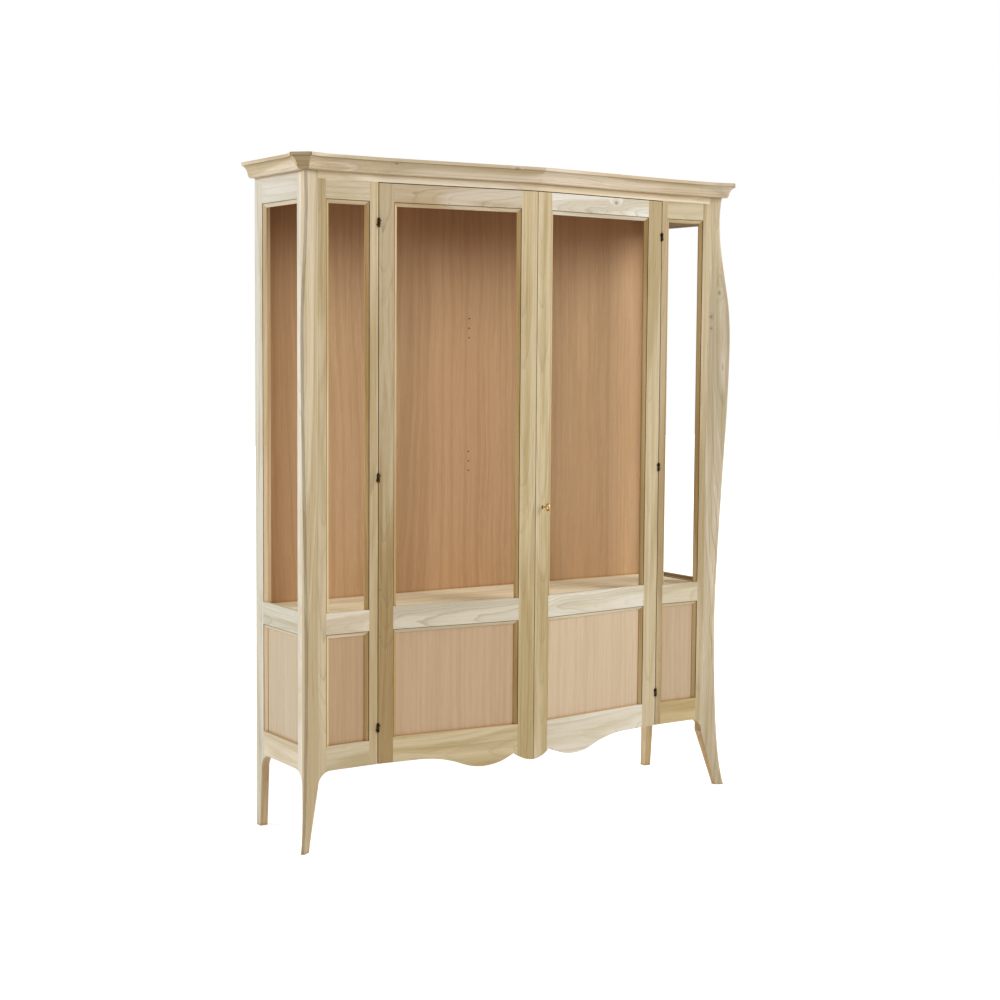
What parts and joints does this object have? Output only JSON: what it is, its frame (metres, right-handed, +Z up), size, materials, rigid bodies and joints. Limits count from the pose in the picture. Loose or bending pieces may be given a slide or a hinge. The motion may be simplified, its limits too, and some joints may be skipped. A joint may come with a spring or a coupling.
{
  "type": "display cabinet",
  "caption": "Tall two door display cabinet with open lights, shallow V front, bombe corner posts, canted cornice and scalloped door bottoms.",
  "frame": {"origin": "on the floor, under the middle of the overall box", "axes": "+Z up, +X to the right along the front, the doors face -Y"},
  "size_m": [1.7108, 0.4518, 2.094],
  "materials": {
    "frame_wood": "raw, fine sanded",
    "post_wood": "raw, fine sanded",
    "panel_wood": "raw, fine sanded",
    "board_wood": "raw, fine sanded",
    "back_board": "raw, plain sawn",
    "bronze": "dark, worn",
    "brass": "satin",
    "steel": "zinc plated"
  },
  "bodies": {
    "case": {"back_panel": "back_board", "bottom_board": "board_wood", "corner_post_left": "post_wood", "corner_post_right": "post_wood", "cornice_corner_left": "frame_wood", "cornice_corner_right": "frame_wood", "cornice_front": "frame_wood", "cornice_side_left": "frame_wood", "cornice_side_right": "frame_wood", "head_rail": "frame_wood", "hinge_lower_left": "bronze", "hinge_lower_right": "bronze", "light_bottom_rail_left": "frame_wood", "light_bottom_rail_right": "frame_wood", "light_hinge_stile_left": "frame_wood", "light_hinge_stile_right": "frame_wood", "light_mid_rail_left": "frame_wood", "light_mid_rail_right": "frame_wood", "light_outer_stile_left": "frame_wood", "light_outer_stile_right": "frame_wood", "light_panel_left": "panel_wood", "light_panel_right": "panel_wood", "light_top_rail_left": "frame_wood", "light_top_rail_right": "frame_wood", "mid_shelf": "board_wood", "rear_bottom_rail": "board_wood", "rear_post_left": "post_wood", "rear_post_right": "post_wood", "side_bottom_rail_left": "frame_wood", "side_bottom_rail_right": "frame_wood", "side_front_stile_left": "frame_wood", "side_front_stile_right": "frame_wood", "side_mid_rail_left": "frame_wood", "side_mid_rail_right": "frame_wood", "side_panel_left": "panel_wood", "side_panel_right": "panel_wood", "side_top_rail_left": "frame_wood", "side_top_rail_right": "frame_wood", "top_board": "board_wood"},
    "door_left": {"door_bottom_rail_left": "frame_wood", "door_hinge_stile_left": "frame_wood", "door_meeting_stile_left": "frame_wood", "door_mid_rail_left": "frame_wood", "door_panel_left": "panel_wood", "door_top_rail_left": "frame_wood", "hinge_upper_left": "bronze", "door_bolt_guides": "steel"},
    "door_right": {"door_bottom_rail_right": "frame_wood", "door_hinge_stile_right": "frame_wood", "door_meeting_stile_right": "frame_wood", "door_mid_rail_right": "frame_wood", "door_panel_right": "panel_wood", "door_top_rail_right": "frame_wood", "hinge_upper_right": "bronze", "lock_case": "steel", "lock_plates": "steel"},
    "key": {"key": "brass"},
    "lock_bolt": {"lock_bolt": "steel"},
    "door_bolt_top": {"door_bolt_top": "steel"},
    "door_bolt_bottom": {"door_bolt_bottom": "steel"}
  },
  "joints": [
    {"name": "door_left_hinge", "type": "hinge", "parent": "case", "child": "door_left", "pos_m": [-0.548, -0.12768, 1.127], "axis": [0, 0, -1], "range_deg": [0, 110]},
    {"name": "door_right_hinge", "type": "hinge", "parent": "case", "child": "door_right", "pos_m": [0.548, -0.12768, 1.127], "axis": [0, 0, 1], "range_deg": [0, 110]},
    {"name": "key_turn", "type": "hinge", "parent": "door_right", "child": "key", "pos_m": [0.03083, -0.17987, 1.018], "axis": [0.1035, -0.9946, 0], "range_deg": [0, 180]},
    {"name": "lock_bolt_slide", "type": "slide", "parent": "door_right", "child": "lock_bolt", "axis": [-0.9946, -0.1035, 0], "range_m": [0, 0.01]},
    {"name": "door_bolt_top_slide", "type": "slide", "parent": "door_left", "child": "door_bolt_top", "axis": [0, 0, 1], "range_m": [0, 0.014]},
    {"name": "door_bolt_bottom_slide", "type": "slide", "parent": "door_left", "child": "door_bolt_bottom", "axis": [0, 0, -1], "range_m": [0, 0.014]}
  ],
  "couplings": [
    {"joint": "lock_bolt_slide", "follows": "key_turn", "m_per_rad": 0.003183}
  ]
}
